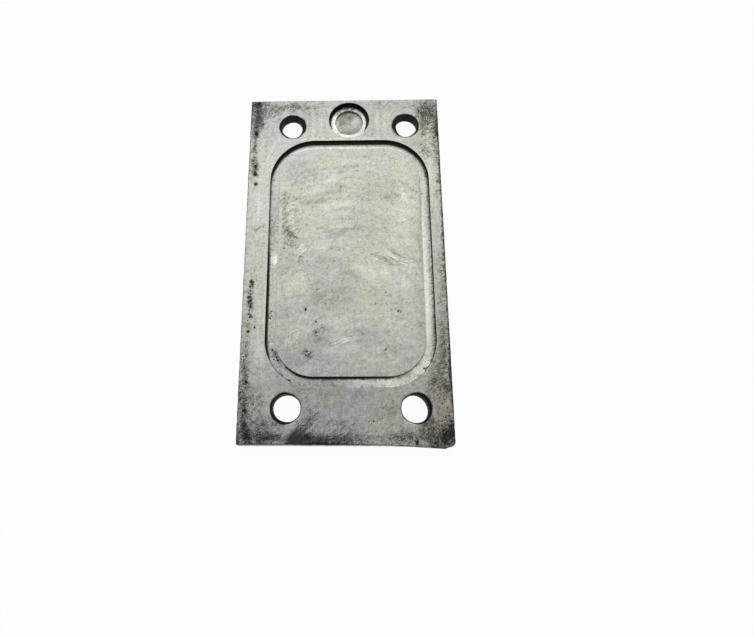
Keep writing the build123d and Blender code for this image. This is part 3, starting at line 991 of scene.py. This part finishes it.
# Specular level of what lies on the metal: old grease and dirt have dried nearly matt
DIRT_GLOSS = 0.2
# How much of the plain place is left in marks that run in circles, so that they aren't even
ROUND_DRIFT = 0.14


def colour(code):
    """A hex sRGB colour as linear RGBA."""
    channels = [int(code[k : k + 2], 16) / 255 for k in (1, 3, 5)]
    linear = [c / 12.92 if c <= 0.04045 else ((c + 0.055) / 1.055) ** 2.4 for c in channels]
    return (*linear, 1.0)


def add(tree, kind, inputs=None, **settings):
    """Adds a node with its settings. Each input is a value, or a socket to link from."""
    node = tree.nodes.new(kind)
    for name, value in settings.items():
        setattr(node, name, value)
    for key, value in (inputs or {}).items():
        if isinstance(value, bpy.types.NodeSocket):
            tree.links.new(value, node.inputs[key])
        else:
            node.inputs[key].default_value = value
    return node


def grain(tree, place, size, drawn_out=(1, 1, 1), turn=0, detail=3.0, seed=0):
    """Noise with features `size` millimetres across, drawn out along some axes, then turned."""
    laid = {
        "Vector": place,
        "Location": (0.013 * seed, 0.029 * seed, 0),
        "Rotation": (0, 0, math.radians(turn)),
        "Scale": drawn_out,
    }
    laid = add(tree, "ShaderNodeMapping", laid, vector_type="TEXTURE").outputs[0]
    noise = {"Vector": laid, "Scale": 1 / (size * MM), "Detail": detail, "Roughness": 0.6}
    return add(tree, "ShaderNodeTexNoise", noise).outputs[0]


def round_place(tree, place, centre):
    """Place by distance from a centre, for marks that run round it in circles."""
    vector_math = "ShaderNodeVectorMath"
    centre = (centre[0] * MM, centre[1] * MM, 0)
    away = add(tree, vector_math, {0: place, 1: centre}, operation="SUBTRACT").outputs[0]
    flat = add(tree, vector_math, {0: away, 1: (1, 1, 0)}, operation="MULTIPLY").outputs[0]
    reach = add(tree, vector_math, {0: flat}, operation="LENGTH").outputs["Value"]
    along = add(tree, "ShaderNodeCombineXYZ", {0: reach}).outputs[0]
    drift = {0: away, 1: (ROUND_DRIFT, ROUND_DRIFT, 0), 2: along}
    return add(tree, vector_math, drift, operation="MULTIPLY_ADD").outputs[0]


def summed(tree, start, terms):
    """A start value plus patterns, each by its weight and reckoned from its own mean."""
    total = start - sum(weight * mean for weight, mean, _ in terms)
    for weight, _, pattern in terms:
        term = {0: pattern, 1: weight, 2: total}
        total = add(tree, "ShaderNodeMath", term, operation="MULTIPLY_ADD").outputs[0]
    return total


def covered(tree, density, pattern, reach, softness):
    """Share covered by a mark that breaks up into specks where its density is low."""
    level = summed(tree, 0, [(reach, 0.5, pattern), (1, 0, density)])
    edge = {"Value": level, "From Min": 0.5 - softness, "From Max": 0.5 + softness}
    return add(tree, "ShaderNodeMapRange", edge, interpolation_type="SMOOTHSTEP").outputs[0]


def worn_steel(name, pale, cast, roughness, mottling, speckle, lines, round_centre=None):
    """Bare steel under grease, rust and scabs, and under the painted light and shade that the
    marks carry.

    `pale` and `cast` are the metal's two tones, and `mottling` and `speckle` the weights of its
    cloudy and its fine grain. Each of `lines` is the width of its lines in millimetres, how far
    they are drawn out along X, Y and Z, their turn, and their weights in the colour and, in
    micrometres, in the surface's height. They run round `round_centre`, if it is given.
    """
    material = bpy.data.materials.new(name)
    material.use_nodes = True
    tree = material.node_tree
    tree.nodes.clear()
    output = tree.nodes.new("ShaderNodeOutputMaterial")
    place = add(tree, "ShaderNodeTexCoord").outputs["Object"]
    marks = {
        mark: add(tree, "ShaderNodeAttribute", attribute_name=mark).outputs["Fac"]
        for mark in MARKS
    }
    lined_place = place if round_centre is None else round_place(tree, place, round_centre)

    clouds = grain(tree, place, 9.0, seed=1)
    mottle = grain(tree, place, 2.4, detail=5.0, seed=2)
    fine = grain(tree, place, 0.7, detail=2.0, seed=3)
    streaks = grain(tree, place, 1.2, (1.6, 1, 1), 40, detail=7.0, seed=14)
    lined = []
    for k, (width, drawn_out, turn, tone_weight, height) in enumerate(lines):
        line = grain(tree, lined_place, width, drawn_out, turn, seed=4 + k)
        patch = covered(tree, 0.5, grain(tree, place, 6.0, seed=20 + k), 4.0, 0.5)
        patchy = add(tree, "ShaderNodeMix", {0: patch, 2: 0.5, 3: line}).outputs[0]
        lined.append((tone_weight, height, patchy))
    arcs = grain(tree, round_place(tree, place, SWIRL_CENTRE), 1.8, detail=6.0, seed=9)
    arcs = add(tree, "ShaderNodeMix", {0: marks["swirl"], 2: 0.5, 3: arcs}).outputs[0]

    # Bare metal: two casts in clouds, then its tone, which takes in painted light and shade
    casts = [(1.6, 0.5, clouds), (0.8, 0.5, mottle), (-0.45, 0, marks["tint"])]
    metal = {0: summed(tree, 0.45, casts), 6: colour(pale), 7: colour(cast)}
    metal = add(tree, "ShaderNodeMix", metal, data_type="RGBA").outputs[2]
    tone = summed(
        tree,
        1.02,
        [
            (0.4, 0.5, clouds),
            (mottling, 0.5, mottle),
            (speckle, 0.5, fine),
            (0.7, 0.5, arcs),
            (0.2, 0, marks["tone_and_painted_light"]),
            *((tone_weight, 0.5, line) for tone_weight, _, line in lined),
        ],
    )
    shown = add(tree, "ShaderNodeVectorMath", {0: metal, 3: tone}, operation="SCALE").outputs[0]

    # Layers that darken it, from the thinnest film to the thickest scab. The film and the oil also
    # lay painted shade on the walls, at their foot, in the bores and along the right edge, and the
    # scabs along the right edge
    rust = covered(tree, marks["rust"], grain(tree, place, 1.6, detail=5.0, seed=11), 1.6, 0.5)
    film_and_painted_shade = covered(tree, marks["grime_and_painted_shade"], streaks, 2.2, 0.4)
    thick_grime_and_shade = summed(tree, -0.12, [(1.25, 0, marks["grime_and_painted_shade"])])
    specks = covered(tree, thick_grime_and_shade, grain(tree, place, 0.45, seed=12), 3.4, 0.25)
    scab_and_edge_shade = covered(tree, marks["scab_and_edge_shade"], grain(tree, place, 0.9, detail=5.0, seed=13), 2.0, 0.4)
    oil_and_painted_shade = covered(tree, marks["oil_and_painted_shade"], grain(tree, place, 0.9, detail=4.0, seed=15), 0.6, 0.45)
    for share, amount, tone_code in (
        (rust, 0.8, "#c9b7a0"),
        (film_and_painted_shade, 0.85, "#8e8d8a"),
        (specks, 0.78, "#676561"),
        (oil_and_painted_shade, 0.96, "#2e2b27"),
        (scab_and_edge_shade, 0.94, "#3c382e"),
    ):
        strength = {0: share, 1: amount}
        strength = add(tree, "ShaderNodeMath", strength, operation="MULTIPLY").outputs[0]
        layer = {0: strength, 6: shown, 7: colour(tone_code)}
        layer = add(tree, "ShaderNodeMix", layer, data_type="RGBA", blend_type="MULTIPLY")
        shown = layer.outputs[2]

    rough = summed(
        tree,
        roughness,
        [
            (0.3, 0.5, mottle),
            (0.1, 0, film_and_painted_shade),
            (0.2, 0, scab_and_edge_shade),
            (0.1, 0, rust),
            (0.2, 0, oil_and_painted_shade),
            (-0.03, 0, marks["tone_and_painted_light"]),
        ],
    )
    metallic = summed(tree, 1.0, [(-0.85, 0, scab_and_edge_shade), (-0.85, 0, oil_and_painted_shade), (-0.25, 0, film_and_painted_shade)])
    height = summed(
        tree,
        0.0,
        [
            (20, 0.5, mottle),
            (20, 0.5, fine),
            (20, 0.5, arcs),
            (40, 0, scab_and_edge_shade),
            *((height, 0.5, line) for _, height, line in lined),
        ],
    )
    bump = {"Height": height, "Distance": MICROMETRE, "Strength": 1.0}
    surface = {
        "Base Color": shown,
        "Roughness": rough,
        "Metallic": metallic,
        "Normal": add(tree, "ShaderNodeBump", bump).outputs[0],
        "Specular IOR Level": DIRT_GLOSS,
    }
    shader = add(tree, "ShaderNodeBsdfPrincipled", surface)
    tree.links.new(shader.outputs["BSDF"], output.inputs["Surface"])
    return material


def steel_finishes():
    """One material for each finish of the plate, in the order of FINISHES."""
    return (
        # Surface grinding and hand rubbing leave fine straight lines, mostly along the plate
        worn_steel(
            "ground mild steel",
            pale="#cac8b8",
            cast="#bcbab8",
            roughness=0.4,
            mottling=1.05,
            speckle=0.75,
            lines=(
                (0.45, (1, 12, 1), 1, 0.38, 30),
                (0.45, (12, 1, 1), 1, 0.2, 30),
                (0.5, (7, 1, 1), 24, 0.4, 40),
                (0.5, (6, 1, 1), -33, 0.34, 40),
                (1.4, (4, 1, 1), 20, 0.36, 40),
            ),
        ),
        # A small end mill leaves a granular floor
        worn_steel(
            "end-milled mild steel",
            pale="#c9c6ba",
            cast="#bdbbb8",
            roughness=0.38,
            mottling=1.0,
            speckle=1.0,
            lines=((0.6, (1, 6, 1), 0, 0.3, 40),),
        ),
        # Turned ledge: bright, with fine rings
        worn_steel(
            "turned mild steel",
            pale="#dcd9cf",
            cast="#d2d0cb",
            roughness=0.36,
            mottling=0.5,
            speckle=0.2,
            lines=((0.4, (1, 1, 1), 0, 0.2, 20),),
            round_centre=recess_centre,
        ),
        # Drilled floor: darker and duller, with coarse rings
        worn_steel(
            "drilled mild steel, dull",
            pale="#b3afa2",
            cast="#a3a19a",
            roughness=0.42,
            mottling=1.0,
            speckle=1.0,
            lines=((0.7, (1, 1, 1), 0, 0.7, 60),),
            round_centre=recess_centre,
        ),
        # Steep walls: darker steel, black with old oil and with painted shade
        worn_steel(
            "oil-blackened mild steel with painted shade",
            pale="#7b756b",
            cast="#69645c",
            roughness=0.5,
            mottling=0.9,
            speckle=0.8,
            lines=((0.5, (1, 1, 6), 0, 0.5, 40),),
        ),
        # Sawn and filed sides, darker and browner, with lines through the thickness
        worn_steel(
            "sawn mild steel",
            pale="#a5a198",
            cast="#8d8981",
            roughness=0.34,
            mottling=0.4,
            speckle=0.3,
            lines=((0.35, (1, 1, 14), 0, 0.9, 60), (1.2, (1, 1, 14), 0, 0.5, 40)),
        ),
    )


# ---------------------------------------------------------------------------------------------
# Floor, light and camera

# Share of the floor's look that is plain white. The rest takes the plate's shadow.
FLOOR_WHITENESS = 0.96


def seen_ray(tree):
    """One for rays that show a thing to the eye, direct or mirrored. Zero for those that light."""
    ray = add(tree, "ShaderNodeLightPath")
    seen = ray.outputs["Is Camera Ray"]
    for kind in ("Is Glossy Ray", "Is Transmission Ray"):
        either = {0: seen, 1: ray.outputs[kind]}
        seen = add(tree, "ShaderNodeMath", either, operation="MAXIMUM").outputs[0]
    return seen


def build_floor():
    """Pale floor that the plate lies on. It looks near white and keeps the plate's shadow."""
    half = 2.0
    mesh = bpy.data.meshes.new("floor")
    corners = [(-half, -half, 0), (half, -half, 0), (half, half, 0), (-half, half, 0)]
    mesh.from_pydata(corners, [], [(0, 1, 2, 3)])
    floor = bpy.data.objects.new("floor", mesh)
    bpy.context.collection.objects.link(floor)
    material = bpy.data.materials.new("matt white card")
    material.use_nodes = True
    tree = material.node_tree
    tree.nodes.clear()
    card = add(tree, "ShaderNodeBsdfDiffuse", {"Color": colour("#f4f4f2")})
    white = add(tree, "ShaderNodeEmission", {"Color": (1, 1, 1, 1), "Strength": 1.0})
    share = {0: seen_ray(tree), 1: FLOOR_WHITENESS}
    share = add(tree, "ShaderNodeMath", share, operation="MULTIPLY").outputs[0]
    mix = {0: share, 1: card.outputs[0], 2: white.outputs[0]}
    mix = add(tree, "ShaderNodeMixShader", mix).outputs[0]
    add(tree, "ShaderNodeOutputMaterial", {"Surface": mix})
    mesh.materials.append(material)


def build_light():
    """Soft studio light: a large box above and behind the plate, and a pale room round it."""
    world = bpy.data.worlds.new("studio")
    bpy.context.scene.world = world
    world.use_nodes = True
    tree = world.node_tree
    background = tree.nodes["Background"]
    direction = add(tree, "ShaderNodeTexCoord").outputs["Generated"]
    # The room is brighter towards the light
    facing = {0: direction, 1: Vector((-0.45, 0.55, 0.7)).normalized()}
    facing = add(tree, "ShaderNodeVectorMath", facing, operation="DOT_PRODUCT").outputs["Value"]
    level = {"Value": facing, "From Min": -1.0, "To Min": 0.16, "To Max": 0.68}
    level = add(tree, "ShaderNodeMapRange", level).outputs[0]
    # Low down it looks white to the eye, like the floor
    height = add(tree, "ShaderNodeSeparateXYZ", {0: direction}).outputs["Z"]
    low_down = {"Value": height, "From Min": 0.3, "From Max": 0.6, "To Min": 1.0, "To Max": 0.0}
    low_down = add(tree, "ShaderNodeMapRange", low_down).outputs[0]
    white = {0: low_down, 1: seen_ray(tree)}
    white = add(tree, "ShaderNodeMath", white, operation="MULTIPLY").outputs[0]
    strength = add(tree, "ShaderNodeMix", {0: white, 2: level, 3: 1.0}).outputs[0]
    tree.links.new(strength, background.inputs["Strength"])
    background.inputs["Color"].default_value = (1, 1, 1, 1)

    width, length, radiance = 0.5, 0.4, 0.95
    light = bpy.data.lights.new("soft_box", "AREA")
    light.shape = "RECTANGLE"
    light.size, light.size_y = width, length
    light.energy = radiance * math.pi * width * length
    box = bpy.data.objects.new("soft_box", light)
    bpy.context.collection.objects.link(box)
    box.location = (-0.08, 0.38, 0.62)
    box.rotation_mode = "QUATERNION"
    box.rotation_quaternion = (-box.location).to_track_quat("-Z", "Y")


def build_camera():
    """Looks down on the machined face from above the plate's front end."""
    sensor_width = 36.0
    picture_width = 754
    focal_length_px = 560.0
    shift_px = 42
    data = bpy.data.cameras.new("camera")
    data.sensor_width = sensor_width
    data.lens = focal_length_px / picture_width * sensor_width
    data.shift_x = shift_px / picture_width
    camera = bpy.data.objects.new("camera", data)
    bpy.context.collection.objects.link(camera)
    camera.location = (0.73 * MM, -78.23 * MM, (top_z + 194.93) * MM)
    camera.rotation_euler = [math.radians(angle) for angle in (15.67, 1.23, 0.07)]
    bpy.context.scene.camera = camera


# ---------------------------------------------------------------------------------------------

plate = build_plate()
for finish in steel_finishes():
    plate.data.materials.append(finish)
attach(plate, "root")
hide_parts(NODE)

build_floor()
build_light()
build_camera()
bpy.context.scene.view_settings.view_transform = "Standard"
